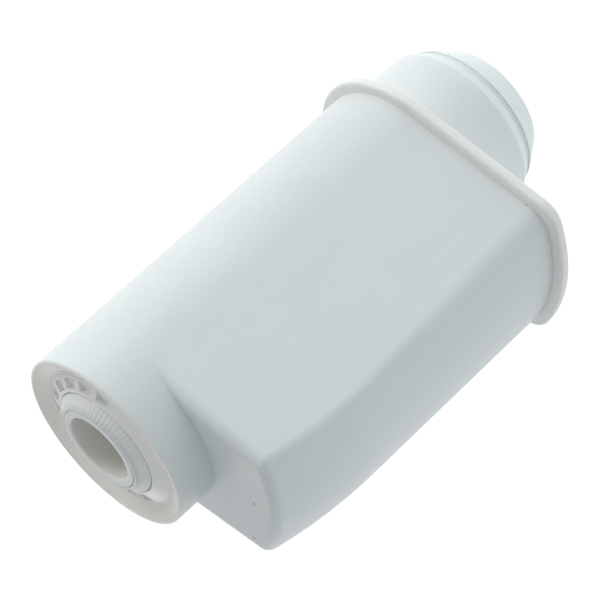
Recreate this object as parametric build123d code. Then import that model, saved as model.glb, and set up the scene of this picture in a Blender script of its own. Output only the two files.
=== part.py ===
from build123d import *
import math
import os

# Drop-in filter cartridge for the water tank that a pump draws from.
# It stands on its end cap (z = 0) with the docking end up; the axis of the round
# barrel is Z and the side chamber bulges towards -X. Sizes are in millimetres.

# ---- driving dimensions: stack of heights, from the end cap up ----
cap_height = 5.95         # tapered end cap
cap_gap = 1.3             # width of the groove between cap and neck
band_height = 2.3         # tapered band at the end of the neck
neck_height = 13.75       # straight part of the neck
flange_thickness = 2.4
body_length = 78.3        # flange to the end face of the side chamber
dock_length = 9.3         # end face of the side chamber to the rim
socket_proud = 1.7        # how far the socket tube stands above the rim

# ---- driving dimensions: housing ----
rim_radius = 20.3         # barrel at the rim
barrel_draft = 0.5        # the barrel is this much wider in radius at the flange
wall = 1.2
chamber_reach = 39.55     # axis to the outer face of the side chamber
chamber_face_radius = 45.7  # plan radius of that outer face
flat_angle_low = 5.0      # each flat side leans in by this much at the flange
flat_angle_high = 7.0     # and at the end face
corner_low = 6.0          # corner radius of the side chamber at the flange
corner_high = 3.0         # and from corner_run up
corner_run = 49.3         # height above the flange over which it eases
barrel_start = 51.5       # height above the flange where the outer face curves in
barrel_radius = 115.0     # side-view radius of that curve
edge_round = 2.3          # rounding of the chamber's end face
rim_round = 0.45
dock_wall = 1.4           # wall of the docking tube at the rim
ledge_width = 0.7
ledge_thickness = 1.5

# ---- driving dimensions: end cover and cap ----
flange_overhang = 2.3
flange_corner = 6.0
flange_round = 0.7
neck_root_radius = 19.3
neck_end_radius = 18.9
band_end_radius = 17.65
neck_bore_radius = 16.2
plate_hole_radius = 13.5
weld_rim_height = 4.0
weld_rim_wall = 1.2
weld_clearance = 0.1
cap_top_radius = 17.35
cap_foot_radius = 13.6
cap_foot_round = 0.8
cap_edge_round = 0.15     # widest edge of the cap
cap_groove_depth = 0.35   # the groove's floor lies this far inside that edge
cap_floor = 1.5
cap_wall = 1.5
cap_skirt_height = 7.2    # skirt that plugs into the neck
cap_skirt_wall = 2.4
cap_clearance = 0.2
cap_ring_section = 1.5    # O-ring section diameter
cap_ring_height = 3.3     # O-ring centre above the cap's shoulder

# ---- driving dimensions: docking end ----
deck_depth = 12.8         # rim down to the underside of the deck
deck_thickness = 2.0
deck_clearance = 0.15
funnel_depth = 0.35       # top of the funnel round the clear ring, below the rim
funnel_drop = 1.45        # from there down to its inner edge
funnel_gap = 0.2          # between its inner edge and the clear ring
funnel_round = 0.25
gasket_thickness = 0.5
socket_bore_radius = 7.6
socket_wall = 1.7
socket_depth = 25.0       # socket mouth down to its floor
socket_floor = 2.0
socket_lip_round = 0.5    # mouth of the socket
socket_edge_round = 0.15  # outer edge of the tube, level with the dial
boss_length = 8.0
boss_wall = 2.0
seal_pocket_step = 0.6    # the seal's pocket is this much narrower than the socket
seal_pocket_depth = 4.0
seal_top_gap = 0.4        # the seal stays this far below the mouth of its pocket
seal_rim_width = 0.5      # rubber at the top of the seal
seal_foot_width = 0.6     # and at its foot
seal_lip_width = 1.1      # and at the lip
deck_port_radius = 1.2
dial_port_radius = 1.0
port_circle_radius = 14.1
port_pitch = 20.0         # also the pitch of the windows and of the dial's settings
dial_clearance = 0.1
dial_crown_radius = 10.0  # flat top of the ribbed collar
dial_collar_radius = 12.0
dial_slope_drop = 1.9
dial_disc_radius = 15.2
dial_disc_thickness = 1.5
dial_lift = 0.12          # running gap under and over the dial's disc
dial_rib_count = 72
dial_rib_width = 0.42
dial_rib_depth = 0.18
dial_rib_overrun = 0.35
dial_below_socket = 0.1
dial_ring_section = 0.85
dial_ring_depth = 8.0     # O-ring centre below the socket mouth
window_ring_gap = 0.25    # radial gap round the ribbed collar
window_ring_radius = 16.2
window_ring_wall = 0.7
window_ring_top = 0.3     # its crown below the rim
window_ring_slope = 1.25
window_ring_round = 0.6
window_count = 12
dial_port_first = 3       # the dial's ports lie under this window and the next ones
dial_port_count = 6
window_circle_radius = 14.15
window_width = 3.3
window_length = 2.3
screen_thickness = 0.4
screen_depth = 2.8        # below the rim
screen_hole_radius = 0.55

# ---- driving dimensions: inside ----
canister_clearance = 0.2
canister_wall = 1.0
lower_plenum = 4.3
upper_plenum = 5.9
grid_thickness = 1.6
fleece_thickness = 2.0
divider_thickness = 1.5
resin_height = 28.4
insert_clearance = 0.15
foot_radius = 1.2
slot_width = 1.6
slot_pitch = 3.4
port_height = 3.0         # side openings of the canister
port_width = 5.0
riser_radius = 4.8
riser_wall = 1.2
riser_ring_section = 1.1
riser_shoulder_width = 1.8
riser_shoulder_height = 1.5
riser_drop = 9.0          # riser's open end below the flange's top face
strainer_radius = 8.0
strainer_wall = 1.0
strainer_height = 9.0
chamber_clearance = 0.25
chamber_gap = 0.3         # side chamber media to canister

# ---- levels along Z ----
z_cap_top = cap_height
z_neck_end = z_cap_top + cap_gap
z_band = z_neck_end + band_height
z_flange_under = z_band + neck_height
z_flange = z_flange_under + flange_thickness
z_end_face = z_flange + body_length
z_rim = z_end_face + dock_length
z_socket = z_rim + socket_proud
z_funnel = z_rim - funnel_depth
z_deck_under = z_rim - deck_depth
z_deck = z_deck_under + deck_thickness
z_ledge = z_deck_under - gasket_thickness
z_ledge_under = z_ledge - ledge_thickness
z_socket_floor = z_socket - socket_depth
z_seal_step = z_socket_floor + seal_pocket_depth
z_boss_top = z_socket_floor - socket_floor
z_boss_end = z_boss_top - boss_length
z_lower_grid = z_flange + lower_plenum
z_lower_fleece = z_lower_grid + grid_thickness
z_resin = z_lower_fleece + fleece_thickness
z_divider = z_resin + resin_height
z_carbon = z_divider + divider_thickness
z_upper_grid_top = z_deck_under - upper_plenum
z_upper_grid = z_upper_grid_top - grid_thickness
z_upper_fleece = z_upper_grid - fleece_thickness
z_barrel = z_flange + barrel_start

# ---- radii that follow from the ones above ----
flange_end_radius = rim_radius + barrel_draft
dock_bore_radius = rim_radius - dock_wall
ledge_radius = dock_bore_radius - ledge_width
deck_radius = dock_bore_radius - deck_clearance
canister_radius = ledge_radius - canister_clearance
canister_bore = canister_radius - canister_wall
insert_radius = canister_bore - insert_clearance
socket_radius = socket_bore_radius + socket_wall
dial_bore_radius = socket_radius + dial_clearance
seal_pocket_radius = socket_bore_radius - seal_pocket_step
boss_radius = riser_radius + dial_clearance + boss_wall
passage_radius = socket_radius + insert_clearance
riser_bore = riser_radius - riser_wall
skirt_radius = neck_bore_radius - cap_clearance
window_ring_bore = dial_collar_radius + window_ring_gap
far = 200.0


# ---- shapes that several pieces share ----
def turned(*corners):
    """Solid of revolution about Z from corners (radius, height) or (radius, height, rounding)."""
    face = make_face(Polyline(*[(c[0], c[1]) for c in corners], close=True)).face()
    for corner in [c for c in corners if len(c) == 3]:
        vertex = face.vertices().sort_by_distance((corner[0], corner[1], 0))[0]
        face = face.fillet_2d(corner[2], [vertex])
    return revolve(Plane.XZ * face, Axis.Z)


def ring(inner, outer, bottom, top):
    """Plain ring or, with inner = 0, a plain disc."""
    solid = Pos(0, 0, bottom) * extrude(Circle(outer), top - bottom)
    if inner > 0:
        solid -= Pos(0, 0, bottom) * extrude(Circle(inner), top - bottom)
    return solid


def o_ring(radius, section, height):
    """Round-section ring whose centre line has the given radius."""
    return Pos(0, 0, height) * Torus(radius, section / 2)


def barrel_wall_radius(z):
    """Outer radius of the round barrel, which tapers evenly from flange to rim."""
    share = (z - z_flange) / (z_rim - z_flange)
    return flange_end_radius + (rim_radius - flange_end_radius) * share


def chamber_corner(z):
    """Corner radius of the side chamber: it eases from the flange up to corner_run."""
    share = min((z - z_flange) / corner_run, 1.0)
    return corner_low + (corner_high - corner_low) * share


def chamber_lean(z):
    """Angle in radians by which each flat side leans in at a height."""
    share = (z - z_flange) / (z_end_face - z_flange)
    return math.radians(flat_angle_low + (flat_angle_high - flat_angle_low) * share)


def face_drop(z):
    """How far the outer face has curved in at a height."""
    rise = max(z - z_barrel, 0.0)
    return barrel_radius - math.sqrt(barrel_radius ** 2 - rise ** 2)


def edge_inset(z):
    """Insets of the flats and of the outer face where the end face's edge is rounded."""
    centre = z_end_face - edge_round
    lean = math.asin((centre - z_barrel) / barrel_radius)
    turn = math.asin(min(max((z - centre) / edge_round, 0.0), 1.0))
    side = edge_round * (1 - math.cos(turn))
    if turn <= lean:
        return side, face_drop(z)
    start = centre + edge_round * math.sin(lean)
    return side, face_drop(start) + edge_round * (math.cos(lean) - math.cos(turn))


def keyhole(z, offset=0.0, radius=None, corner=None):
    """Plan outline at a height: the round barrel with two flats running out to the chamber's face.

    Each flat touches the barrel and ends in a corner arc that runs into the outer face.
    A positive offset moves the whole outline inwards, a negative one outwards.
    """
    side, drop = edge_inset(z)
    barrel = (barrel_wall_radius(z) if radius is None else radius) - offset
    corner = (chamber_corner(z) if corner is None else corner) - offset - side
    reach = chamber_reach - offset - drop
    face_radius = chamber_face_radius - offset - drop
    angle = chamber_lean(z)
    normal = Vector(-math.sin(angle), -math.cos(angle), 0)
    along = Vector(-math.cos(angle), math.sin(angle), 0)
    centre = Vector(face_radius - reach, 0, 0)
    flat = normal * (barrel - side)
    root = flat + along * math.sqrt(barrel ** 2 - (barrel - side) ** 2)
    base = normal * (barrel - side - corner) - centre
    run = -base.dot(along) + math.sqrt(base.dot(along) ** 2 - base.dot(base) + (face_radius - corner) ** 2)
    pivot = centre + base + along * run
    outward = (pivot - centre).normalized()
    middle = (normal + outward).normalized()
    flat_end = pivot + normal * corner
    corner_mid = pivot + middle * corner
    face_end = pivot + outward * corner
    apex = Vector(-reach, 0, 0)

    def flip(point):
        return Vector(point.X, -point.Y, 0)

    edges = [
        ThreePointArc(flip(root), Vector(barrel, 0, 0), root),
        Line(root, flat_end),
        ThreePointArc(flat_end, corner_mid, face_end),
        ThreePointArc(face_end, apex, flip(face_end)),
        ThreePointArc(flip(face_end), flip(corner_mid), flip(flat_end)),
        Line(flip(flat_end), flip(root)),
    ]
    return Pos(0, 0, z) * make_face(edges)


def chamber_body(bottom, top, offset):
    """Tall keyhole solid: ruled up to the height where the outer face starts to curve in."""
    solid = loft([keyhole(bottom, offset), keyhole(z_barrel, offset)], ruled=True)
    steps = [z_barrel + (top - z_barrel) * i / 4 for i in range(5)]
    return solid + loft([keyhole(z, offset) for z in steps])


def side_chamber(bottom, top, offset):
    """The part of the keyhole that lies beyond the canister, for what fills the side chamber."""
    beyond = canister_radius + chamber_gap
    block = loft([keyhole(bottom, offset), keyhole(top, offset)], ruled=True)
    block -= ring(0, beyond, bottom - 1, top + 1)
    keep = Pos(-far / 2 - beyond * 0.72, 0, (bottom + top) / 2) * Box(far, far, far)
    return block & keep


def slots(width, length, bottom, height):
    """Row of parallel slots along X, to be cut from a grid plate."""
    count = int(width / slot_pitch) // 2
    cut = [Pos(0, i * slot_pitch, 0) * Box(length, slot_width, height) for i in range(-count, count + 1)]
    return Pos(0, 0, bottom + height / 2) * Compound(children=cut)


# ---- housing, cover and cap ----
def housing_shell():
    """Thin moulded shell: barrel with side chamber, open at the flange, docking tube at the other end."""
    centre = z_end_face - edge_round
    outer = chamber_body(z_flange, centre, 0)
    turns = [math.radians(90 * i / 6) for i in range(7)]
    levels = [centre + edge_round * math.sin(t) for t in turns]
    outer += loft([keyhole(z) for z in levels])
    outer += turned(
        (0, z_end_face),
        (barrel_wall_radius(z_end_face), z_end_face),
        (rim_radius, z_rim, rim_round),
        (0, z_rim),
    )
    cavity_top = z_end_face - wall
    cavity = chamber_body(z_flange, min(cavity_top, centre), wall)
    cavity = cavity + loft([keyhole(centre, wall), Pos(0, 0, cavity_top - centre) * keyhole(centre, wall)])
    shell = outer - cavity
    shell += ring(ledge_radius, rim_radius - wall / 4, z_ledge_under, z_ledge)
    shell += ring(dock_bore_radius, rim_radius - wall / 4, z_ledge_under, z_rim - 2 * rim_round)
    bore = turned(
        (0, z_ledge),
        (dock_bore_radius, z_ledge),
        (dock_bore_radius, z_rim - 3 * rim_round),
        (rim_radius - 2 * rim_round, z_rim),
        (rim_radius - 2 * rim_round, z_rim + 1),
        (0, z_rim + 1),
    )
    return shell - bore - ring(0, ledge_radius, z_ledge_under - 1, z_ledge + 1)


def end_cover():
    """Flange plate with the neck below it and the weld rim that locates the shell above it."""
    outline = keyhole(z_flange, -flange_overhang, corner=flange_corner - flange_overhang)
    outline = Pos(0, 0, -flange_thickness) * outline
    plate = extrude(outline, flange_thickness, dir=(0, 0, 1))
    plate = fillet(plate.edges().group_by(Axis.Z)[-1], flange_round)
    plate = fillet(plate.edges().group_by(Axis.Z)[0], flange_round)
    neck = turned(
        (plate_hole_radius, z_cap_top + cap_skirt_height),
        (neck_bore_radius, z_cap_top + cap_skirt_height),
        (neck_bore_radius, z_neck_end),
        (band_end_radius, z_neck_end, 0.25),
        (neck_end_radius, z_band),
        (neck_root_radius, z_flange_under + flange_thickness / 2),
        (plate_hole_radius, z_flange_under + flange_thickness / 2),
    )
    rim = extrude(keyhole(z_flange, wall + weld_clearance), weld_rim_height, dir=(0, 0, 1))
    rim -= extrude(keyhole(z_flange, wall + weld_clearance + weld_rim_wall), weld_rim_height, dir=(0, 0, 1))
    return plate + neck + rim - ring(0, plate_hole_radius, z_neck_end, z_flange + 1)


def neck_cap():
    """Tapered cup that closes the neck, with a skirt and O-ring groove that plug into its bore."""
    shoulder = z_cap_top
    groove_half = cap_ring_section / 2 + 0.1
    groove_mid = shoulder + cap_ring_height
    groove_radius = neck_bore_radius - cap_ring_section
    skirt_in = skirt_radius - cap_skirt_wall
    seat = cap_top_radius - cap_groove_depth
    return turned(
        (0, 0),
        (cap_foot_radius, 0, cap_foot_round),
        (cap_top_radius, shoulder, cap_edge_round),
        (seat, shoulder),
        (seat, z_neck_end),
        (skirt_radius, z_neck_end),
        (skirt_radius, groove_mid - groove_half),
        (groove_radius, groove_mid - groove_half),
        (groove_radius, groove_mid + groove_half),
        (skirt_radius, groove_mid + groove_half),
        (skirt_radius, shoulder + cap_skirt_height, 0.4),
        (skirt_in, shoulder + cap_skirt_height),
        (skirt_in, shoulder),
        (cap_foot_radius - cap_wall, cap_floor),
        (0, cap_floor),
    )


# ---- docking end ----
def port_angles():
    """Directions of the windows, and of the ports below them, round the axis."""
    first = -90.0
    return [first + port_pitch * i for i in range(window_count)]


def docking_deck():
    """Round cup: its wall ends in the funnel, its deck holds the socket tube and the riser's boss."""
    funnel_bore = window_ring_radius + funnel_gap
    edge = min(funnel_round, (deck_radius - funnel_bore) / 3)
    ring_half = dial_ring_section / 2 + 0.05
    ring_mid = z_socket - dial_ring_depth
    groove = dial_bore_radius - 0.05 - dial_ring_section
    boss_bore = riser_radius + dial_clearance / 2
    riser_mid = z_boss_end + boss_length / 2
    riser_half = riser_ring_section / 2 + 0.1
    riser_groove = riser_radius + riser_ring_section
    deck = turned(
        (socket_bore_radius, z_socket, socket_lip_round),
        (socket_radius, z_socket, socket_edge_round),
        (socket_radius, ring_mid + ring_half),
        (groove, ring_mid + ring_half),
        (groove, ring_mid - ring_half),
        (socket_radius, ring_mid - ring_half),
        (socket_radius, z_deck),
        (funnel_bore, z_deck),
        (funnel_bore, z_funnel - funnel_drop, edge),
        (deck_radius, z_funnel, edge),
        (deck_radius, z_deck_under),
        (socket_radius, z_deck_under),
        (socket_radius, z_boss_top),
        (boss_radius, z_boss_top),
        (boss_radius, z_boss_end),
        (boss_bore, z_boss_end),
        (boss_bore, riser_mid - riser_half),
        (riser_groove, riser_mid - riser_half),
        (riser_groove, riser_mid + riser_half),
        (boss_bore, riser_mid + riser_half),
        (boss_bore, z_boss_top),
        (riser_bore, z_boss_top),
        (riser_bore, z_socket_floor),
        (seal_pocket_radius, z_socket_floor),
        (seal_pocket_radius, z_seal_step),
        (socket_bore_radius, z_seal_step),
    )
    hole = Pos(port_circle_radius, 0, (z_deck_under + z_deck) / 2) * Cylinder(deck_port_radius, 2 * deck_thickness)
    return deck - Compound(children=[Rot(0, 0, angle) * hole for angle in port_angles()])


def lip_seal():
    """Rubber ring in the pocket at the bottom of the socket, with a sloping lip."""
    height = seal_pocket_depth - seal_top_gap
    return turned(
        (seal_pocket_radius, z_socket_floor),
        (seal_pocket_radius, z_socket_floor + height),
        (seal_pocket_radius - seal_rim_width, z_socket_floor + height),
        (seal_pocket_radius - seal_lip_width, z_socket_floor + height * 0.5),
        (seal_pocket_radius - seal_lip_width, z_socket_floor + height * 0.3),
        (seal_pocket_radius - seal_foot_width, z_socket_floor),
    )


def hardness_dial():
    """Ribbed collar that turns round the socket tube, with a ported disc at its foot."""
    foot = z_deck + dial_lift
    disc_top = foot + dial_disc_thickness
    crown = z_socket - dial_below_socket
    shoulder = crown - dial_slope_drop
    dial = turned(
        (dial_bore_radius, foot),
        (dial_disc_radius, foot),
        (dial_disc_radius, disc_top),
        (dial_collar_radius, disc_top),
        (dial_collar_radius, shoulder, 0.3),
        (dial_crown_radius, crown, 0.4),
        (dial_bore_radius, crown, 0.1),
    )
    run = dial_collar_radius - dial_crown_radius
    lean = math.degrees(math.atan2(dial_slope_drop, run))
    blade = Rot(0, lean, 0) * Box(math.hypot(run, dial_slope_drop) + 2 * dial_rib_overrun, dial_rib_width, 2 * dial_rib_depth)
    blade = Pos(dial_crown_radius + run / 2, 0, crown - dial_slope_drop / 2) * blade
    spacing = 360 / dial_rib_count
    dial -= Compound(children=[Rot(0, 0, i * spacing) * blade for i in range(dial_rib_count)])
    hole = Pos(port_circle_radius, 0, foot + dial_disc_thickness / 2) * Cylinder(dial_port_radius, 2 * dial_disc_thickness)
    angles = port_angles()[dial_port_first:dial_port_first + dial_port_count]
    dial -= Compound(children=[Rot(0, 0, angle) * hole for angle in angles])
    return dial


def window_ring():
    """Clear ring round the collar: a gently domed top with a row of windows and two skirts."""
    crown = z_rim - window_ring_top
    edge = crown - window_ring_slope
    under = edge - window_ring_wall
    inner_foot = z_deck + 2 * dial_lift + dial_disc_thickness
    cover = turned(
        (window_ring_bore, crown, 0.25),
        (window_ring_radius, edge, window_ring_round),
        (window_ring_radius, z_deck),
        (window_ring_radius - window_ring_wall, z_deck),
        (window_ring_radius - window_ring_wall, under),
        (window_ring_bore + window_ring_wall, under),
        (window_ring_bore + window_ring_wall, inner_foot),
        (window_ring_bore, inner_foot),
    )
    for angle in port_angles():
        pane = Pos(window_circle_radius, 0, crown) * Box(window_length, window_width, 4 * window_ring_wall)
        cover -= Rot(0, 0, angle) * pane
    return cover


def inlet_screen():
    """Perforated ring under the windows, held between the two skirts of the window ring."""
    inner = window_ring_bore + window_ring_wall
    outer = window_ring_radius - window_ring_wall
    bottom = z_rim - screen_depth
    screen = ring(inner, outer, bottom, bottom + screen_thickness)
    hole = Cylinder(screen_hole_radius, 4 * screen_thickness)
    rows = [inner + (outer - inner) * share for share in (0.28, 0.72)]
    cut = []
    for row, radius in enumerate(rows):
        count = int(2 * math.pi * radius / (3.4 * screen_hole_radius))
        for i in range(count):
            angle = 360 * (i + 0.5 * row) / count
            cut.append(Rot(0, 0, angle) * Pos(radius, 0, bottom + screen_thickness / 2) * hole)
    return screen - Compound(children=cut)


def dial_o_ring():
    """Seal between the socket tube and the dial."""
    radius = dial_bore_radius - 0.05 - dial_ring_section / 2
    return o_ring(radius, dial_ring_section, z_socket - dial_ring_depth)


def deck_gasket():
    """Flat seal between the shell's ledge and the deck."""
    return ring(ledge_radius + 0.1, deck_radius, z_ledge, z_deck_under)


def cap_o_ring():
    """Seal between the cap's skirt and the bore of the neck."""
    return o_ring(neck_bore_radius - cap_ring_section / 2, cap_ring_section, z_cap_top + cap_ring_height)


# ---- inside ----
def media_canister():
    """Inner tube that holds the main beds, standing on the cover plate and held down by the deck."""
    tube = ring(canister_bore, canister_radius, z_flange, z_deck_under)
    cut = []
    for middle in (z_flange + lower_plenum / 2, z_deck_under - upper_plenum / 2):
        for i in range(-2, 3):
            port = Pos(-canister_radius, 0, middle) * Box(4 * canister_wall, port_width, port_height)
            cut.append(Rot(0, 0, i * 24) * port)
    return tube - Compound(children=cut)


def round_grid(bottom, hole_radius, foot_bottom, foot_top):
    """Slotted round plate with a centre hole and six stand-off feet."""
    plate = ring(0, insert_radius, bottom, bottom + grid_thickness)
    reach = insert_radius - 3 * foot_radius
    cut = slots(2 * reach, far, bottom - 1, grid_thickness + 2)
    plate -= cut & ring(hole_radius + 1.2, reach, bottom - 1, bottom + grid_thickness + 1)
    plate -= ring(0, hole_radius, bottom - 1, bottom + grid_thickness + 1)
    foot = Pos(insert_radius - 1.3 * foot_radius, 0, (foot_bottom + foot_top) / 2)
    foot = foot * Cylinder(foot_radius, foot_top - foot_bottom)
    for i in range(6):
        plate += Rot(0, 0, 30 + 60 * i) * foot
    return plate


def lower_grid():
    """Grid that carries the main beds above the cover plate."""
    return round_grid(z_lower_grid, riser_radius, z_flange, z_lower_grid + grid_thickness / 2)


def upper_grid():
    """Grid that holds the main beds down, with feet up to the deck."""
    return round_grid(z_upper_grid, passage_radius, z_upper_grid + grid_thickness / 2, z_deck_under)


def lower_fleece():
    """Felt disc under the resin."""
    return ring(riser_radius, insert_radius, z_lower_fleece, z_resin)


def resin_bed():
    """Packed bed of ion exchange beads."""
    return ring(riser_radius, insert_radius, z_resin, z_divider)


def divider_fleece():
    """Felt disc between the two beds."""
    return ring(riser_radius, insert_radius, z_divider, z_carbon)


def carbon_bed():
    """Packed bed of carbon grains, hollowed at the top round the boss and the socket tube."""
    bed = ring(riser_radius, insert_radius, z_carbon, z_upper_fleece)
    bed -= ring(0, boss_radius + insert_clearance, z_boss_end - insert_clearance, z_socket)
    return bed - ring(0, passage_radius, z_boss_top - insert_clearance, z_socket)


def upper_fleece():
    """Felt disc over the carbon."""
    return ring(passage_radius, insert_radius, z_upper_fleece, z_upper_grid)


def riser_tube():
    """Tube that carries filtered water from the neck up to the socket."""
    shoulder = z_lower_grid - riser_shoulder_height
    return turned(
        (riser_bore, z_flange - riser_drop),
        (riser_radius, z_flange - riser_drop),
        (riser_radius, shoulder),
        (riser_radius + riser_shoulder_width, shoulder),
        (riser_radius + riser_shoulder_width, z_lower_grid),
        (riser_radius, z_lower_grid),
        (riser_radius, z_boss_top),
        (riser_bore, z_boss_top),
    )


def riser_o_ring():
    """Seal between the riser and the deck's boss."""
    radius = riser_radius + riser_ring_section / 2
    return o_ring(radius, riser_ring_section, z_boss_end + boss_length / 2)


def riser_strainer():
    """Slotted basket pressed on to the riser's open end."""
    top = z_flange - riser_drop + strainer_height / 2
    bottom = top - strainer_height
    inner = strainer_radius - strainer_wall
    basket = turned(
        (0, bottom),
        (strainer_radius, bottom, 0.4),
        (strainer_radius, top, 0.4),
        (riser_radius, top),
        (riser_radius, top - strainer_wall),
        (inner, top - strainer_wall),
        (inner, bottom + strainer_wall),
        (0, bottom + strainer_wall),
    )
    slot = Pos(strainer_radius, 0, (top + bottom) / 2) * Box(4 * strainer_wall, 1.0, strainer_height - 4 * strainer_wall)
    return basket - Compound(children=[Rot(0, 0, 20 * i) * slot for i in range(18)])


def chamber_layer(bottom, top):
    """One flat-ended layer that fills the side chamber between two heights."""
    return side_chamber(bottom, top, wall + chamber_clearance)


def chamber_grid(bottom, foot_bottom, foot_top):
    """Slotted plate across the side chamber, on four feet."""
    half = 0.8 * canister_radius
    near = canister_radius + chamber_gap + 2 * foot_radius
    outer = chamber_reach - face_drop(z_end_face) - wall - 4 * foot_radius
    plate = chamber_layer(bottom, bottom + grid_thickness)
    window = Pos(-(near + outer) / 2, 0, bottom) * Box(outer - near, 2 * half, 4 * grid_thickness)
    plate -= slots(2 * half, far, bottom - 1, grid_thickness + 2) & window
    foot = Cylinder(foot_radius, foot_top - foot_bottom)
    for x in (near, outer):
        for y in (-0.6 * canister_radius, 0.6 * canister_radius):
            plate += Pos(-x, y, (foot_bottom + foot_top) / 2) * foot
    return plate


def chamber_lower_grid():
    """Grid under the side chamber's bed, standing on the cover plate."""
    return chamber_grid(z_lower_grid, z_flange, z_lower_grid + grid_thickness / 2)


def chamber_lower_fleece():
    """Felt under the side chamber's bed."""
    return chamber_layer(z_lower_fleece, z_resin)


def chamber_bed():
    """Packed bed of mixed grains in the side chamber."""
    return chamber_layer(z_resin, z_upper_fleece)


def chamber_upper_fleece():
    """Felt over the side chamber's bed."""
    return chamber_layer(z_upper_fleece, z_upper_grid)


def chamber_upper_grid():
    """Grid over the side chamber's bed, with feet up to the chamber's end wall."""
    return chamber_grid(z_upper_grid, z_upper_grid + grid_thickness / 2, z_end_face - wall)


pieces = [
    housing_shell,
    end_cover,
    neck_cap,
    cap_o_ring,
    docking_deck,
    deck_gasket,
    lip_seal,
    window_ring,
    inlet_screen,
    hardness_dial,
    dial_o_ring,
    media_canister,
    lower_grid,
    lower_fleece,
    resin_bed,
    divider_fleece,
    carbon_bed,
    upper_fleece,
    upper_grid,
    riser_tube,
    riser_o_ring,
    riser_strainer,
    chamber_lower_grid,
    chamber_lower_fleece,
    chamber_bed,
    chamber_upper_fleece,
    chamber_upper_grid,
]

os.makedirs("parts", exist_ok=True)
for piece in pieces:
    export_step(piece(), f"parts/{piece.__name__}.step")
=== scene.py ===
import math

import bpy
import numpy as np
from bpy.props import FloatProperty, FloatVectorProperty, PointerProperty
from mathutils import Matrix, Vector


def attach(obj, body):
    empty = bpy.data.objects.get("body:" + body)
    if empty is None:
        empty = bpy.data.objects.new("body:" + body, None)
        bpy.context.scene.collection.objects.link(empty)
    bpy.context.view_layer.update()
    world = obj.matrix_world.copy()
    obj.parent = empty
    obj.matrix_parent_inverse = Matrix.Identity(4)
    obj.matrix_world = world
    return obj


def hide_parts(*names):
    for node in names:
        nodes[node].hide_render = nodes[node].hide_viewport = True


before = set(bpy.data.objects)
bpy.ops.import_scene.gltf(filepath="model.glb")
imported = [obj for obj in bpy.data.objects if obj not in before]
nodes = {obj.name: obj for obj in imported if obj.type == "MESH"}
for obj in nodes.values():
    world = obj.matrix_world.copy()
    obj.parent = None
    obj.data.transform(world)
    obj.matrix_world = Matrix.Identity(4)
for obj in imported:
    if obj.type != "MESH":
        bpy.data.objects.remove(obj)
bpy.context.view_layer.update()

# Drop-in water filter cartridge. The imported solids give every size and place; this add-on
# dresses them: moulded white shell, cover, cap and socket, a clear window ring, a ribbed
# dial, and the seals, felts and beds inside. All lengths are in metres.

bl_info = {
    "name": "Tank filter cartridge",
    "version": (1, 0, 0),
    "blender": (4, 5, 0),
    "location": "3D View > Sidebar > Filter",
    "description": "Builds the looks of a drop-in water filter cartridge around its solids",
    "category": "Object",
}

MM = 0.001
ARC_STEPS = 5           # points along each rounded corner of a turned profile
DECK_STEPS = 288        # points round the axis
DECK_SPACING = 0.0012   # widest step along the deck's profile
RIBS = 72
STEPS_PER_RIB = 10
RIB_DEPTH = 0.00009
DIAL_SPACING = 0.0004
BEAD_STEPS = 360
BEAD_SIDES = 10
FLOOR_RADIUS = 3.0
FLOOR_SIDES = 24
FLOOR_GLOW_SEEN = 0.62  # glow of the floor where it is seen directly
AIM = (0, 0, 0.06049)   # point the camera and the lamps face
CAMERA_RIGHT, CAMERA_UP = 0.002036, -0.004472
FOCAL_LENGTH, SENSOR_WIDTH = 160.643, 36.0
LAMP_SIZE = 0.5

# Profiles of the turned pieces: radius, height and, at a rounded corner, rounding, in millimetres.
DECK_PROFILE = [
    (7.6, 115.0, 0.5), (9.3, 115.0, 0.15), (9.3, 102.5, 0.3),          # socket tube
    (16.4, 102.5, 0.3), (16.4, 111.5, 0.25),                           # cup round the dial
    (19.34, 113.2, 0.03), (18.86, 111.95), (18.75, 111.5),             # funnel and shell seam
    (18.75, 100.5, 0.2), (9.3, 100.5), (9.3, 88.0, 0.2),               # outside of cup and tube
    (6.9, 88.0), (6.9, 80.0, 0.2), (4.85, 80.0), (4.85, 88.0),         # boss of the riser
    (3.6, 88.0), (3.6, 90.0), (7.0, 90.0), (7.0, 94.0, 0.1), (7.6, 94.0)]  # floor of the socket
DIAL_PROFILE = [
    (9.4, 102.62), (15.2, 102.62, 0.2), (15.2, 104.12, 0.2), (12.12, 104.12, 0.2),
    (12.12, 113.0, 0.3), (10.0, 114.9, 0.4), (9.4, 114.9, 0.1)]
SLOPE_FOOT, SLOPE_TOP = (0.01212, 0.1130), (0.0100, 0.1149)

# Colour zones reach from one radius and height to another, in millimetres. FAR and ABOVE
# lie outside the part, where a zone has no edge.
ZONE_EDGES = ("Inner", "Outer", "Bottom", "Top", "Soft")
FAR = 60.0
ABOVE = 120.0


# ---- settings ------------------------------------------------------------------------


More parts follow.
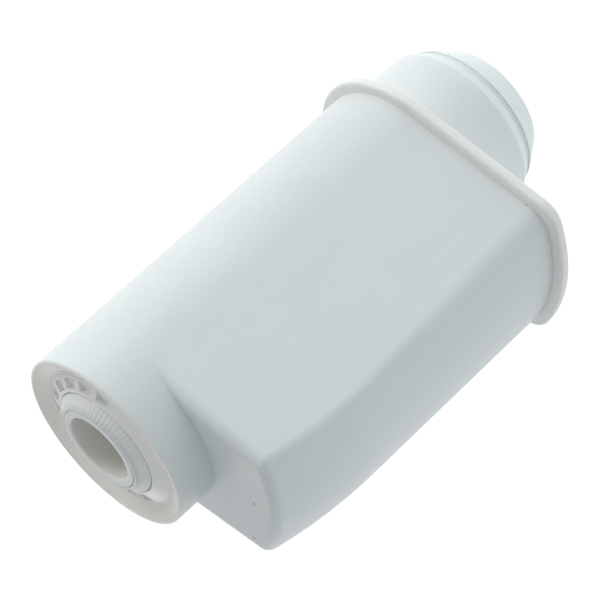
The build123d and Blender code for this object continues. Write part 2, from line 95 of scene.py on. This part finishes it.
class MouldedSettings(bpy.types.PropertyGroup):
    """Finish of the white moulded pieces, and the whites that paint light and shade on some of
    their zones.
    """

    shell_colour: FloatVectorProperty(
        name="Shell colour", description="Colour of the housing shell",
        subtype="COLOR", size=3, min=0, max=1, default=(0.765, 0.827, 0.85))
    cover_colour: FloatVectorProperty(
        name="Cover colour", description="Colour of the end cover and its neck",
        subtype="COLOR", size=3, min=0, max=1, default=(0.81, 0.865, 0.885))
    cap_colour: FloatVectorProperty(
        name="Cap colour", description="Colour of the end cap",
        subtype="COLOR", size=3, min=0, max=1, default=(0.80, 0.85, 0.86))
    # Painted light: the flange is made lighter and more neutral than the rest of the cover.
    flange_light_colour: FloatVectorProperty(
        name="Flange light colour", description="Painted light: lighter, more neutral white on the flange",
        subtype="COLOR", size=3, min=0, max=1, default=(0.90, 0.925, 0.91))
    # Painted light: the shell just above the flange is made lighter and warmer than the rest of
    # it.
    foot_light_colour: FloatVectorProperty(
        name="Foot light colour", description="Painted light: lighter, warmer white on the shell just above the flange",
        subtype="COLOR", size=3, min=0, max=1, default=(0.83, 0.87, 0.875))
    # Painted shade: the side chamber's end face is made greyer than the shell, for the little
    # light it gets from above.
    end_face_shade_colour: FloatVectorProperty(
        name="End face shade colour", description="Painted shade: greyer white on the side chamber's end face",
        subtype="COLOR", size=3, min=0, max=1, default=(0.76, 0.805, 0.82))
    # Painted light: the rim and the funnel are made warmer and lighter, for light shining through
    # their thin walls.
    rim_light_colour: FloatVectorProperty(
        name="Rim light colour", description="Painted light: warmer, lighter white on the rim and the funnel inside it, for light shining through their thin walls",
        subtype="COLOR", size=3, min=0, max=1, default=(0.945, 0.94, 0.89))
    # Painted light: the socket's bore is tinted warm for the light bounced inside it.
    bore_bounce_colour: FloatVectorProperty(
        name="Bore bounce colour", description="Painted light: warm white for the light bounced inside the socket's bore",
        subtype="COLOR", size=3, min=0, max=1, default=(0.955, 0.95, 0.91))
    dial_colour: FloatVectorProperty(
        name="Dial colour", description="Colour of the ribbed dial",
        subtype="COLOR", size=3, min=0, max=1, default=(0.875, 0.90, 0.90))
    # Painted shade: the dial's crown is made a darker violet grey than the dial.
    crown_shade_colour: FloatVectorProperty(
        name="Crown shade colour", description="Painted shade: faint violet grey on the dial's crown",
        subtype="COLOR", size=3, min=0, max=1, default=(0.74, 0.765, 0.79))
    roughness: FloatProperty(
        name="Roughness", description="How matt the moulded surfaces are",
        subtype="FACTOR", min=0.05, max=1, default=0.38)
    tone: FloatProperty(
        name="Tone variation", description="How far the white drifts from place to place",
        subtype="FACTOR", min=0, max=0.3, default=0.035)
    speck_share: FloatProperty(
        name="Specks", description="Share of cells that hold a dark speck",
        subtype="FACTOR", min=0, max=1, default=0.05)


class StageSettings(bpy.types.PropertyGroup):
    """Camera, lamps and floor."""

    azimuth: FloatProperty(
        name="Azimuth", description="Camera direction round the part",
        subtype="ANGLE", default=math.radians(-25.733))
    elevation: FloatProperty(
        name="Elevation", description="Camera height angle",
        subtype="ANGLE", default=math.radians(24.488))
    roll: FloatProperty(
        name="Roll", description="Camera turn about its own line of sight",
        subtype="ANGLE", default=math.radians(-132.124))
    distance: FloatProperty(
        name="Distance", description="Camera to the middle of the part",
        unit="LENGTH", default=0.53767)
    key_power: FloatProperty(
        name="Key lamp", description="Power of the key lamp in watts", min=0, default=3.3)
    fill_power: FloatProperty(
        name="Fill lamp", description="Power of the front fill lamp in watts", min=0, default=0.5)
    back_power: FloatProperty(
        name="Back lamp", description="Power of the lamp behind the part in watts",
        min=0, default=0.5)
    top_power: FloatProperty(
        name="Top lamp", description="Power of the lamp above the docking end in watts",
        min=0, default=0.6)
    sky: FloatProperty(
        name="Sky light", description="Strength of the even light from all round",
        min=0, default=0.35)
    table: FloatProperty(
        name="Light table", description="Strength of the soft light that comes up from the floor",
        min=0, default=0.41)


# ---- helpers for materials -------------------------------------------------------------


class Tree:
    """Short way to add and link nodes in one node tree."""

    def __init__(self, tree):
        self.tree = tree

    def add(self, kind, inputs=None, **settings):
        node = self.tree.nodes.new(kind)
        for name, value in settings.items():
            setattr(node, name, value)
        for name, value in (inputs or {}).items():
            self.feed(node.inputs[name], value)
        return node

    def feed(self, socket, value):
        if isinstance(value, bpy.types.NodeSocket):
            self.tree.links.new(value, socket)
        else:
            socket.default_value = value

    def math(self, operation, *values, clamp=False):
        node = self.add("ShaderNodeMath", operation=operation, use_clamp=clamp)
        for i, value in enumerate(values):
            self.feed(node.inputs[i], value)
        return node.outputs[0]

    def mix_colour(self, share, first, second, blend="MIX"):
        node = self.add("ShaderNodeMix", data_type="RGBA", blend_type=blend)
        self.feed(node.inputs[0], share)
        self.feed(node.inputs[6], first)
        self.feed(node.inputs[7], second)
        return node.outputs[2]

    def span(self, value, low, high, to_low=0.0, to_high=1.0, smooth=False):
        node = self.add("ShaderNodeMapRange", clamp=True,
                        interpolation_type="SMOOTHSTEP" if smooth else "LINEAR")
        for i, v in enumerate((value, low, high, to_low, to_high)):
            self.feed(node.inputs[i], v)
        return node.outputs[0]


def rgba(colour, factor=1.0):
    return (colour[0] * factor, colour[1] * factor, colour[2] * factor, 1.0)


def new_group(name, inputs, outputs):
    """Empty shader node group with the named inputs and outputs."""
    group = bpy.data.node_groups.new(name, "ShaderNodeTree")
    for label, kind, default in inputs:
        socket = group.interface.new_socket(label, in_out="INPUT", socket_type=kind)
        if default is not None:
            socket.default_value = default
    for label, kind in outputs:
        group.interface.new_socket(label, in_out="OUTPUT", socket_type=kind)
    tree = Tree(group)
    start = tree.add("NodeGroupInput")
    end = tree.add("NodeGroupOutput")
    return group, tree, start, end


def moulded_group():
    """Moulded plastic skin: slow drift of tone, flow streaks, orange peel and rare specks."""
    if "Moulded skin" in bpy.data.node_groups:
        return bpy.data.node_groups["Moulded skin"]
    group, t, start, end = new_group(
        "Moulded skin",
        [("Position", "NodeSocketVector", None),
         ("Colour", "NodeSocketColor", (0.8, 0.8, 0.8, 1)),
         ("Tone", "NodeSocketFloat", 0.03),
         ("Roughness", "NodeSocketFloat", 0.4),
         ("Speck share", "NodeSocketFloat", 0.05)],
        [("Colour", "NodeSocketColor"), ("Roughness", "NodeSocketFloat"),
         ("Height", "NodeSocketFloat")])
    place = start.outputs["Position"]
    drift = t.add("ShaderNodeTexNoise",
                  {"Vector": place, "Scale": 45.0, "Detail": 3.0, "Roughness": 0.5})
    stretched = t.add("ShaderNodeVectorMath", {0: place, 1: (260.0, 260.0, 22.0)},
                      operation="MULTIPLY")
    streak = t.add("ShaderNodeTexNoise",
                   {"Vector": stretched.outputs[0], "Scale": 1.0, "Detail": 2.0})
    both = t.math("ADD", t.math("SUBTRACT", drift.outputs["Fac"], 0.5),
                  t.math("MULTIPLY", t.math("SUBTRACT", streak.outputs["Fac"], 0.5), 0.35))
    strength = t.math("MULTIPLY", start.outputs["Tone"], 2.0)
    shift = t.math("ADD", 1.0, t.math("MULTIPLY", both, strength))
    toned = t.add("ShaderNodeVectorMath", {0: start.outputs["Colour"]}, operation="SCALE")
    t.feed(toned.inputs["Scale"], shift)
    cells = t.add("ShaderNodeTexVoronoi", {"Vector": place, "Scale": 170.0, "Randomness": 1.0})
    lucky = t.add("ShaderNodeTexWhiteNoise", {"Vector": cells.outputs["Position"]},
                  noise_dimensions="3D")
    size = t.math("MULTIPLY", lucky.outputs["Value"], 0.03)
    spot = t.span(cells.outputs["Distance"], t.math("MULTIPLY", size, 0.5),
                  t.math("ADD", size, 0.02), 1.0, 0.0)
    keep = t.math("LESS_THAN", lucky.outputs["Value"], start.outputs["Speck share"])
    mask = t.math("MULTIPLY", t.math("MULTIPLY", spot, keep), 0.55)
    colour = t.mix_colour(mask, toned.outputs[0], (0.16, 0.15, 0.13, 1))
    peel = t.add("ShaderNodeTexNoise", {"Vector": place, "Scale": 420.0, "Detail": 1.0})
    grain = t.add("ShaderNodeTexNoise", {"Vector": place, "Scale": 3200.0, "Detail": 2.0})
    height = t.math("ADD", peel.outputs["Fac"], t.math("MULTIPLY", grain.outputs["Fac"], 0.25))
    rough = t.math("ADD", start.outputs["Roughness"],
                   t.math("MULTIPLY", t.math("SUBTRACT", grain.outputs["Fac"], 0.5), 0.10))
    rough = t.math("ADD", rough,
                   t.math("MULTIPLY", t.math("SUBTRACT", drift.outputs["Fac"], 0.5), 0.12))
    t.feed(end.inputs["Colour"], colour)
    t.feed(end.inputs["Roughness"], rough)
    t.feed(end.inputs["Height"], height)
    return group


def zone_group():
    """Share of a ring-shaped zone round the axis: 1 inside it, easing to 0 across its edges.

    The distance from the axis is held against Inner and Outer and the height against Bottom
    and Top, all in millimetres, and the four eased steps are multiplied.
    """
    if "Ring zone" in bpy.data.node_groups:
        return bpy.data.node_groups["Ring zone"]
    group, t, start, end = new_group(
        "Ring zone",
        [("Position", "NodeSocketVector", None)]
        + [(label, "NodeSocketFloat", 1.0) for label in ZONE_EDGES],
        [("Share", "NodeSocketFloat")])
    split = t.add("ShaderNodeSeparateXYZ", {0: start.outputs["Position"]})
    across = t.add("ShaderNodeCombineXYZ", {0: split.outputs[0], 1: split.outputs[1]})
    length = t.add("ShaderNodeVectorMath", {0: across.outputs[0]}, operation="LENGTH")
    radius = t.math("MULTIPLY", length.outputs["Value"], 1000.0)
    height = t.math("MULTIPLY", split.outputs[2], 1000.0)
    soft = start.outputs["Soft"]
    share = None
    for value, low, high in ((radius, "Inner", "Outer"), (height, "Bottom", "Top")):
        for label, first, last in ((low, 0.0, 1.0), (high, 1.0, 0.0)):
            edge = start.outputs[label]
            step = t.span(value, t.math("SUBTRACT", edge, soft), t.math("ADD", edge, soft),
                          first, last, smooth=True)
            share = step if share is None else t.math("MULTIPLY", share, step)
    t.feed(end.inputs["Share"], share)
    return group


def zoned(t, place, colour, zones, marks=()):
    """Base colour, the tint of each ring-shaped zone over it, and small dark marks at points."""
    tone = rgba(colour)
    for *edges, tint in zones:
        zone = t.add("ShaderNodeGroup", node_tree=zone_group())
        t.feed(zone.inputs["Position"], place)
        for label, value in zip(ZONE_EDGES, edges):
            t.feed(zone.inputs[label], value)
        tone = t.mix_colour(zone.outputs["Share"], tone, rgba(tint))
    for point, size in marks:
        away = t.add("ShaderNodeVectorMath", {0: place, 1: point}, operation="DISTANCE")
        spot = t.span(away.outputs["Value"], 0.5 * size, size, 0.6, 0.0, smooth=True)
        tone = t.mix_colour(spot, tone, (0.10, 0.11, 0.11, 1))
    return tone


def blank_material(name, viewport):
    """New material with its tree, which holds a Principled shader and the output."""
    material = bpy.data.materials.new(name)
    material.use_nodes = True
    material.diffuse_color = rgba(viewport)
    material.node_tree.nodes.clear()
    t = Tree(material.node_tree)
    shader = t.add("ShaderNodeBsdfPrincipled")
    t.add("ShaderNodeOutputMaterial", {"Surface": shader.outputs[0]})
    return material, t, shader


def moulded_material(name, colour, settings, roughness=None, subsurface=0.0, depth=0.0015,
                     zones=(), marks=()):
    """White moulded plastic from the shared skin group, tinted in ring-shaped zones."""
    material, t, shader = blank_material(name, colour)
    place = t.add("ShaderNodeTexCoord").outputs["Object"]
    skin = t.add("ShaderNodeGroup", node_tree=moulded_group())
    t.feed(skin.inputs["Position"], place)
    t.feed(skin.inputs["Colour"], zoned(t, place, colour, zones, marks))
    t.feed(skin.inputs["Tone"], settings.tone)
    t.feed(skin.inputs["Roughness"], settings.roughness if roughness is None else roughness)
    t.feed(skin.inputs["Speck share"], settings.speck_share)
    bump = t.add("ShaderNodeBump",
                 {"Strength": 0.35, "Distance": 0.00002, "Height": skin.outputs["Height"]})
    t.feed(shader.inputs["Base Color"], skin.outputs["Colour"])
    t.feed(shader.inputs["Roughness"], skin.outputs["Roughness"])
    t.feed(shader.inputs["Normal"], bump.outputs[0])
    shader.inputs["IOR"].default_value = 1.49
    shader.inputs["Specular IOR Level"].default_value = 0.35
    if subsurface > 0:
        shader.inputs["Subsurface Weight"].default_value = subsurface
        shader.inputs["Subsurface Radius"].default_value = (1.0, 0.9, 0.75)
        shader.inputs["Subsurface Scale"].default_value = depth
    return material


def clear_material():
    """Cloudy clear ring: milky body with a faint blue cast, soft ripples and a painted bluish
    reflection on its outer edge.
    """
    material, t, shader = blank_material("Clear ring", (0.80, 0.86, 0.88))
    place = t.add("ShaderNodeTexCoord").outputs["Object"]
    ripple = t.add("ShaderNodeTexNoise", {"Vector": place, "Scale": 350.0, "Detail": 1.0})
    bump = t.add("ShaderNodeBump",
                 {"Strength": 0.4, "Distance": 0.0001, "Height": ripple.outputs["Fac"]})
    # Painted reflection: the ring's outer edge is tinted a little bluer than its milky body.
    rim = (15.2, 17.0, 100.0, ABOVE, 0.2, (0.95, 0.955, 0.965))
    milk = zoned(t, place, (0.94, 0.96, 0.96), [rim])
    tint = t.mix_colour(ripple.outputs["Fac"], milk, (0.96, 0.97, 0.97, 1))
    t.feed(shader.inputs["Base Color"], tint)
    shader.inputs["Roughness"].default_value = 0.22
    shader.inputs["Transmission Weight"].default_value = 0.05
    shader.inputs["Subsurface Weight"].default_value = 0.3
    shader.inputs["Subsurface Radius"].default_value = (1.0, 1.0, 1.0)
    shader.inputs["Subsurface Scale"].default_value = 0.0006
    shader.inputs["IOR"].default_value = 1.49
    t.feed(shader.inputs["Normal"], bump.outputs[0])
    return material


def rounded_profile(corners):
    """Closed profile in the plane of radius and height, as rows of points in metres.

    Corners are (radius, height) or (radius, height, rounding) in millimetres. A rounded
    corner is an arc that touches both sides: with the half angle h between the sides it
    starts at rounding / tan h from the corner, and its centre lies at rounding / sin h
    along their bisector.
    """
    spots = np.array([corner[:2] for corner in corners], float)
    rows = []
    for i, corner in enumerate(corners):
        spot = spots[i]
        before = spots[i - 1] - spot
        after = spots[(i + 1) % len(spots)] - spot
        before, after = before / np.linalg.norm(before), after / np.linalg.norm(after)
        if len(corner) == 2:
            rows.append(spot[None, :])
            continue
        rounding = corner[2]
        half = math.acos(float(np.clip(before @ after, -1, 1))) / 2
        middle = (before + after) / np.linalg.norm(before + after)
        centre = spot + middle * rounding / math.sin(half)
        first = spot + before * rounding / math.tan(half) - centre
        last = spot + after * rounding / math.tan(half) - centre
        turn = math.atan2(first[0] * last[1] - first[1] * last[0], float(first @ last))
        share = np.linspace(0, 1, ARC_STEPS)[:, None] * turn
        across = np.stack([-first[1], first[0]])
        rows.append(centre + first * np.cos(share) + across * np.sin(share))
    return np.concatenate(rows) * MM


def refined(profile, step):
    """Closed profile with further points so that none lie more than about one step apart."""
    ends = np.roll(profile, -1, 0)
    counts = np.maximum(1, np.ceil(np.linalg.norm(ends - profile, axis=1) / step)).astype(int)
    rows = [a + (b - a) * np.linspace(0, 1, n, endpoint=False)[:, None]
            for a, b, n in zip(profile, ends, counts)]
    return np.concatenate(rows)


def grid_piece(name, points, material):
    """Object from a grid of points that closes on itself both ways."""
    rows, columns = points.shape[:2]
    index = np.arange(rows * columns).reshape(rows, columns)
    next_row, next_column = np.roll(index, -1, 0), np.roll(index, -1, 1)
    quads = np.stack([index, next_row, np.roll(next_row, -1, 1), next_column], -1).reshape(-1, 4)
    mesh = bpy.data.meshes.new(name)
    mesh.from_pydata(points.reshape(-1, 3).tolist(), [], quads.tolist())
    mesh.shade_smooth()
    mesh.materials.append(material)
    piece = bpy.data.objects.new(name, mesh)
    bpy.context.scene.collection.objects.link(piece)
    return piece


def turned_points(profile, turns):
    """Points (r cos u, r sin u, z) of a profile (r, z) carried round the axis at the angles u."""
    radius, height = profile[None, :, 0], profile[None, :, 1]
    return np.stack([radius * np.cos(turns), radius * np.sin(turns), height + 0 * turns], -1)


def ring_piece(name, radius, height, size, flatness, material):
    """Thin bead along the edge between two round pieces.

    Point at angle u round the axis and v round the section:
    ((radius + s cos v) cos u, (radius + s cos v) sin u, height + flatness s sin v), where
    the section's half width s swells and thins by a few percent along the way.
    """
    u = np.linspace(0, 2 * math.pi, BEAD_STEPS, endpoint=False)[:, None]
    v = np.linspace(0, 2 * math.pi, BEAD_SIDES, endpoint=False)[None, :]
    s = size * (1 + 0.06 * np.sin(23 * u) + 0.05 * np.sin(41 * u + 1))
    reach = radius + s * np.cos(v)
    level = height + flatness * s * np.sin(v)
    return grid_piece(name, np.stack([reach * np.cos(u), reach * np.sin(u), level], -1), material)


def deck_piece(name, material):
    """Deck, cup and socket tube as one turned shape whose funnel runs out to the shell's rim."""
    profile = refined(rounded_profile(DECK_PROFILE), DECK_SPACING)[::-1]
    turns = np.linspace(0, 2 * math.pi, DECK_STEPS, endpoint=False)[:, None]
    return grid_piece(name, turned_points(profile, turns), material)


def dial_piece(name, material):
    """Turned dial with fine ribs on its sloping collar.

    Between the ribs the slope sinks by depth * e * (0.5 + 0.5 cos(n u))^3 along its own
    normal, n being the count of ribs, u the angle round the axis and e a share that is 1
    along the slope and eases to 0 at its two ends.
    """
    slope_foot, slope_top = np.array(SLOPE_FOOT), np.array(SLOPE_TOP)
    profile = refined(rounded_profile(DIAL_PROFILE), DIAL_SPACING)
    run = slope_top - slope_foot
    length = np.linalg.norm(run)
    along = (profile - slope_foot) @ run / length
    normal = np.array([run[1], -run[0]]) / length
    off = np.abs((profile - slope_foot) @ normal)
    past, fade, skin = 0.0001, 0.0003, 0.0002
    ease = (np.clip((along + past) / fade, 0, 1)
            * np.clip((length + past - along) / fade, 0, 1))
    ease = ease * ease * (3 - 2 * ease) * (off < skin)
    turns = np.linspace(0, 2 * math.pi, RIBS * STEPS_PER_RIB, endpoint=False)[:, None]
    depth = RIB_DEPTH * ease[None, :] * (0.5 + 0.5 * np.cos(RIBS * turns)) ** 3
    points = turned_points(profile, turns)
    points[..., 0] -= depth * normal[0] * np.cos(turns)
    points[..., 1] -= depth * normal[0] * np.sin(turns)
    points[..., 2] -= depth * normal[1]
    return grid_piece(name, points, material)


def seen_directly(t):
    """1 on camera, mirror and see-through rays, 0 on the rays that carry light."""
    path = t.add("ShaderNodeLightPath")
    return t.math("MAXIMUM", path.outputs["Is Camera Ray"],
                  t.math("MAXIMUM", path.outputs["Is Glossy Ray"],
                         path.outputs["Is Transmission Ray"]))


def aimed_camera(settings):
    """Camera at the set direction and distance, turned about its own line of sight."""
    azimuth, elevation, roll = settings.azimuth, settings.elevation, settings.roll
    back = Vector((math.sin(azimuth) * math.cos(elevation),
                   -math.cos(azimuth) * math.cos(elevation), math.sin(elevation)))
    side = Vector((0, 0, 1)).cross(back).normalized()
    above = back.cross(side)
    right = math.cos(roll) * side + math.sin(roll) * above
    up = -math.sin(roll) * side + math.cos(roll) * above
    place = Vector(AIM) + CAMERA_RIGHT * right + CAMERA_UP * up + settings.distance * back
    camera = bpy.data.objects.new("Camera", bpy.data.cameras.new("Camera"))
    camera.matrix_world = Matrix((
        (right.x, up.x, back.x, place.x), (right.y, up.y, back.y, place.y),
        (right.z, up.z, back.z, place.z), (0, 0, 0, 1)))
    camera.data.lens = FOCAL_LENGTH
    camera.data.sensor_width = SENSOR_WIDTH
    camera.data.clip_start = 0.01
    bpy.context.scene.collection.objects.link(camera)
    return camera


def aimed_lamp(name, power, place, colour=(1.0, 1.0, 1.0)):
    """Square soft lamp that faces the part."""
    data = bpy.data.lights.new(name, "AREA")
    data.energy = power
    data.size = LAMP_SIZE
    data.color = colour
    lamp = bpy.data.objects.new(name, data)
    lamp.location = place
    lamp.rotation_euler = (Vector(AIM) - Vector(place)).to_track_quat("-Z", "Y").to_euler()
    bpy.context.scene.collection.objects.link(lamp)


def even_sky(strength):
    """World with an even soft light and a plain white backdrop."""
    world = bpy.data.worlds.new("Sky")
    world.use_nodes = True
    world.node_tree.nodes.clear()
    t = Tree(world.node_tree)
    soft = t.add("ShaderNodeBackground", {"Color": (0.97, 1.0, 1.0, 1), "Strength": strength})
    white = t.add("ShaderNodeBackground", {"Color": (1, 1, 1, 1), "Strength": 1.0})
    mix = t.add("ShaderNodeMixShader",
                {0: seen_directly(t), 1: soft.outputs[0], 2: white.outputs[0]})
    t.add("ShaderNodeOutputWorld", {"Surface": mix.outputs[0]})
    return world


def glowing_floor(strength):
    """Pale round floor that gives a soft light from below and looks white."""
    angle = np.linspace(0, 2 * math.pi, FLOOR_SIDES, endpoint=False)
    ring = np.stack([FLOOR_RADIUS * np.cos(angle), FLOOR_RADIUS * np.sin(angle), 0 * angle], 1)
    mesh = bpy.data.meshes.new("Floor")
    mesh.from_pydata(ring.tolist(), [], [list(range(FLOOR_SIDES))])
    floor = bpy.data.objects.new("Floor", mesh)
    bpy.context.scene.collection.objects.link(floor)
    material = bpy.data.materials.new("Pale floor")
    material.use_nodes = True
    material.node_tree.nodes.clear()
    t = Tree(material.node_tree)
    matt = t.add("ShaderNodeBsdfDiffuse", {"Color": (0.85, 0.86, 0.86, 1)})
    glow_strength = t.math(
        "ADD", strength, t.math("MULTIPLY", seen_directly(t), FLOOR_GLOW_SEEN - strength))
    glow = t.add("ShaderNodeEmission", {"Color": (1, 1, 1, 1), "Strength": glow_strength})
    add = t.add("ShaderNodeAddShader", {0: matt.outputs[0], 1: glow.outputs[0]})
    t.add("ShaderNodeOutputMaterial", {"Surface": add.outputs[0]})
    floor.data.materials.append(material)
    return floor


def dress(name, material):
    """Puts one material in every slot of a CAD node."""
    node = nodes[name]
    for slot in node.material_slots:
        slot.material = material


# ---- operators -------------------------------------------------------------------------


class FILTER_OT_shell(bpy.types.Operator):
    """Dress the housing shell."""

    bl_idname = "filter.shell"
    bl_label = "Housing shell"

    def execute(self, context):
        s = context.scene.filter_moulded
        # Painted light: warmer, lighter white on the shell's rim.
        rim = (0.0, 20.15, 112.4, ABOVE, 0.15, s.rim_light_colour)
        # Painted shade: greyer white on the side chamber's end face.
        end = (20.5, FAR, 103.75, 110.0, 0.2, s.end_face_shade_colour)
        # Painted light: lighter, warmer band on the shell just above the flange.
        foot = (0.0, FAR, 24.5, 27.6, 1.4, s.foot_light_colour)
        end_marks = [((-0.03077, -0.00052, 0.104), 0.0005), ((-0.03025, 0.01298, 0.104), 0.00035)]
        foot_marks = [((-0.0316, -0.0180, 0.0259), 0.00028), ((-0.0384, -0.0109, 0.0259), 0.00025)]
        shell = moulded_material("Housing white", s.shell_colour, s, subsurface=0.15,
                                 zones=[rim, end, foot], marks=end_marks + foot_marks)
        dress("housing_shell", shell)
        return {"FINISHED"}


class FILTER_OT_cover(bpy.types.Operator):
    """Dress the end cover and the cap."""

    bl_idname = "filter.cover"
    bl_label = "End cover and cap"

    def execute(self, context):
        s = context.scene.filter_moulded
        # Painted light: lighter white on the flange of the cover.
        plate = (19.9, FAR, 22.9, 26.5, 0.15, s.flange_light_colour)
        cover = moulded_material("Cover white", s.cover_colour, s, subsurface=0.15, zones=[plate])
        dress("end_cover", cover)
        dress("neck_cap", moulded_material("Cap white", s.cap_colour, s, subsurface=0.15))
        return {"FINISHED"}


class FILTER_OT_dock(bpy.types.Operator):
    """Dress the deck, dial, window ring and screen."""

    bl_idname = "filter.dock"
    bl_label = "Docking end"

    def execute(self, context):
        s = context.scene.filter_moulded
        lip = (7.55, 9.6, 114.2, ABOVE, 0.12, s.dial_colour)
        # Painted light: warm tint for the light bounced inside the socket's bore.
        bore = (0.0, 7.7, 80.0, ABOVE, 0.1, s.bore_bounce_colour)
        # The deck's base colour is the rim's painted warm light; the lip takes the dial's white
        # and the bore its own painted tint.
        socket = moulded_material("Socket white", s.rim_light_colour, s, zones=[lip, bore])
        dress("docking_deck", socket)
        deck = deck_piece("deck_and_socket", socket)
        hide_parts("docking_deck")
        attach(deck, "cartridge")
        # Painted shade: darker violet grey on the dial's crown.
        crown = (8.0, 10.6, 112.0, ABOVE, 0.4, s.crown_shade_colour)
        ribbed = moulded_material("Dial white", s.dial_colour, s, roughness=0.28,
                                  subsurface=0.4, depth=0.0006, zones=[crown])
        dress("hardness_dial", ribbed)
        dial = dial_piece("ribbed_dial", ribbed)
        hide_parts("hardness_dial")
        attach(dial, "dial")
        clear = clear_material()
        dress("window_ring", clear)
        bead = ring_piece("window_ring_bead", 0.01632, 0.11145, 0.00033, 0.9, clear)
        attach(bead, "cartridge")
        dress("inlet_screen", moulded_material("Screen plastic", s.dial_colour, s))
        return {"FINISHED"}


class FILTER_OT_inside(bpy.types.Operator):
    """Dress the pieces inside: grids, felts, beds, tubes and seals."""

    bl_idname = "filter.inside"
    bl_label = "Inner pieces"

    def execute(self, context):
        s = context.scene.filter_moulded
        plastic = moulded_material("Inner plastic", (0.78, 0.79, 0.76), s)
        rubber = moulded_material("Seal rubber", (0.80, 0.79, 0.76), s, roughness=0.6)
        felt = moulded_material("Felt", (0.72, 0.71, 0.66), s, roughness=0.95)
        resin = moulded_material("Resin beads", (0.45, 0.25, 0.10), s, roughness=0.35)
        carbon = moulded_material("Carbon grains", (0.03, 0.03, 0.03), s, roughness=0.7)
        for name in nodes:
            if "grid" in name or name in ("media_canister", "riser_tube", "riser_strainer"):
                dress(name, plastic)
            elif "ring" in name and name != "window_ring" or name in ("lip_seal", "deck_gasket"):
                dress(name, rubber)
            elif "fleece" in name:
                dress(name, felt)
            elif name == "resin_bed":
                dress(name, resin)
            elif name.endswith("_bed"):
                dress(name, carbon)
        return {"FINISHED"}


class FILTER_OT_stage(bpy.types.Operator):
    """Set up the camera, lamps, sky and floor."""

    bl_idname = "filter.stage"
    bl_label = "Camera, lamps and floor"

    def execute(self, context):
        s = context.scene.filter_stage
        scene = context.scene
        scene.view_settings.view_transform = "Standard"
        scene.camera = aimed_camera(s)
        aimed_lamp("Key lamp", s.key_power, (0.725, -0.41, 0.16), (1.0, 0.975, 0.925))
        aimed_lamp("Fill lamp", s.fill_power, (0.45, -0.70, 0.10))
        aimed_lamp("Back lamp", s.back_power, (0.10, 0.85, 0.15))
        aimed_lamp("Top lamp", s.top_power, (-0.16, 0.10, 0.86))
        scene.world = even_sky(s.sky)
        floor = glowing_floor(s.table)
        return {"FINISHED"}


class FILTER_PT_panel(bpy.types.Panel):
    """Lists the steps and the settings."""

    bl_label = "Tank filter cartridge"
    bl_idname = "FILTER_PT_panel"
    bl_space_type = "VIEW_3D"
    bl_region_type = "UI"
    bl_category = "Filter"

    def draw(self, context):
        for step in steps:
            self.layout.operator(step.bl_idname)
        scene = context.scene
        for settings in (scene.filter_moulded, scene.filter_stage):
            for name in settings.__annotations__:
                self.layout.prop(settings, name)


settings_groups = [MouldedSettings, StageSettings]
steps = [FILTER_OT_shell, FILTER_OT_cover, FILTER_OT_dock, FILTER_OT_inside, FILTER_OT_stage]


def register():
    for cls in settings_groups + steps + [FILTER_PT_panel]:
        bpy.utils.register_class(cls)
    bpy.types.Scene.filter_moulded = PointerProperty(type=MouldedSettings)
    bpy.types.Scene.filter_stage = PointerProperty(type=StageSettings)


def unregister():
    del bpy.types.Scene.filter_stage
    del bpy.types.Scene.filter_moulded
    for cls in reversed(settings_groups + steps + [FILTER_PT_panel]):
        bpy.utils.unregister_class(cls)


def main():
    register()
    bpy.ops.filter.shell()
    bpy.ops.filter.cover()
    bpy.ops.filter.dock()
    bpy.ops.filter.inside()
    bpy.ops.filter.stage()


if __name__ == "__main__":
    main()
